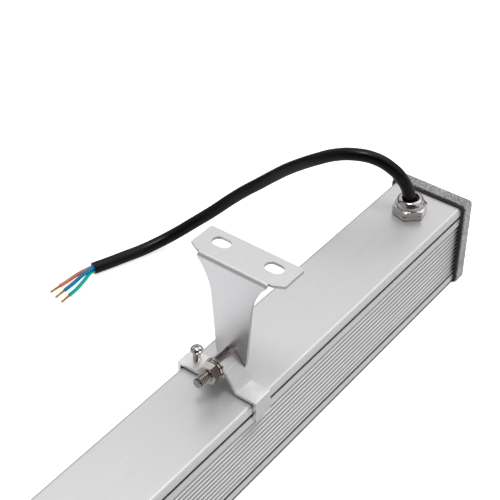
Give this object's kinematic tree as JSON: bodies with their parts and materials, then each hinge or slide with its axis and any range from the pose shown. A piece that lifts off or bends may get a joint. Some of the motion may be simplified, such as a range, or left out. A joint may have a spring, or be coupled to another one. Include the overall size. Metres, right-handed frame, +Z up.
{
  "type": "outdoor linear wall washer light",
  "caption": "Outdoor linear wall washer light: fluted aluminium bar with a glass front and cast end caps, cable gland with a short lead, and sliding clips with tilting foot brackets.",
  "frame": {"origin": "middle of the bar, on the plane that its glass side rests on", "axes": "+Z up, square to the bar's flat back; +Y along the bar, towards the end with the cable gland; +X across the bar"},
  "size_m": [0.1942, 1, 0.1243],
  "materials": {
    "anodised_aluminium": "satin silver anodised extrusion",
    "front_glass": "clear toughened float glass",
    "grey_silicone": "light grey silicone bead",
    "white_board": "white solder mask on an aluminium-core board",
    "led_phosphor": "yellow phosphor in a white package",
    "clear_lens": "clear moulded acrylic",
    "fastener_steel": "bright stainless steel",
    "green_board": "green solder mask on glass-fibre board",
    "white_plastic": "white nylon",
    "yellow_tape": "yellow polyester tape round a ferrite core",
    "dark_sleeve": "dark shrink sleeve",
    "green_plastic": "green moulded nylon",
    "lead_insulation": "coloured insulation of the inner leads",
    "cast_cap_paint": "grey die-cast cap with a fine sand texture",
    "black_rubber": "matte black rubber",
    "nickel_plate": "bright nickel-plated brass",
    "cord_rubber": "black rubber jacket with a soft sheen",
    "brown_insulation": "brown core insulation",
    "blue_insulation": "blue core insulation",
    "green_yellow_insulation": "green and yellow striped core insulation",
    "bare_copper": "bare twisted copper strands",
    "clip_aluminium": "silver anodised slice of an extrusion with sawn ends",
    "bracket_sheet": "satin finished bent sheet"
  },
  "bodies": {
    "light_bar": {"housing": "anodised_aluminium", "glass_cover": "front_glass", "glass_seal": "grey_silicone", "led_board": "white_board", "led_packages": "led_phosphor", "lenses": "clear_lens", "board_screws": "fastener_steel", "driver_board": "green_board", "driver_spacers": "white_plastic", "driver_transformer": "yellow_tape", "driver_capacitors": "dark_sleeve", "terminal_block": "green_plastic", "inner_leads": "lead_insulation", "board_leads": "lead_insulation", "end_cap_near": "cast_cap_paint", "end_cap_far": "cast_cap_paint", "end_gasket_near": "black_rubber", "end_gasket_far": "black_rubber", "cap_screws": "fastener_steel", "gland_seal": "black_rubber", "gland_body": "nickel_plate", "gland_lock_nut": "nickel_plate", "gland_insert": "black_rubber", "gland_dome_nut": "nickel_plate", "cord_jacket": "cord_rubber", "core_brown": "brown_insulation", "core_blue": "blue_insulation", "core_earth": "green_yellow_insulation", "core_copper": "bare_copper"},
    "clip_set_near": {"clip_near": "clip_aluminium", "lock_screw_near": "fastener_steel", "pivot_bolt_near": "fastener_steel", "pivot_nut_near": "fastener_steel", "spring_washer_near": "fastener_steel", "flat_washers_near": "fastener_steel"},
    "bracket_near": {"foot_bracket_near": "bracket_sheet"},
    "clip_set_far": {"clip_far": "clip_aluminium", "lock_screw_far": "fastener_steel", "pivot_bolt_far": "fastener_steel", "pivot_nut_far": "fastener_steel", "spring_washer_far": "fastener_steel", "flat_washers_far": "fastener_steel"},
    "bracket_far": {"foot_bracket_far": "bracket_sheet"}
  },
  "joints": [
    {"name": "clip_slide_near", "type": "slide", "parent": "light_bar", "child": "clip_set_near", "axis": [0, 1, 0], "range_m": [-0.265, 0.11]},
    {"name": "bracket_tilt_near", "type": "hinge", "parent": "clip_set_near", "child": "bracket_near", "pos_m": [0, 0.295, 0.069], "axis": [0, 1, 0], "range_deg": [-90, 90]},
    {"name": "clip_slide_far", "type": "slide", "parent": "light_bar", "child": "clip_set_far", "axis": [0, 1, 0], "range_m": [-0.185, 0.265]},
    {"name": "bracket_tilt_far", "type": "hinge", "parent": "clip_set_far", "child": "bracket_far", "pos_m": [0, -0.295, 0.069], "axis": [0, 1, 0], "range_deg": [-90, 90]}
  ]
}
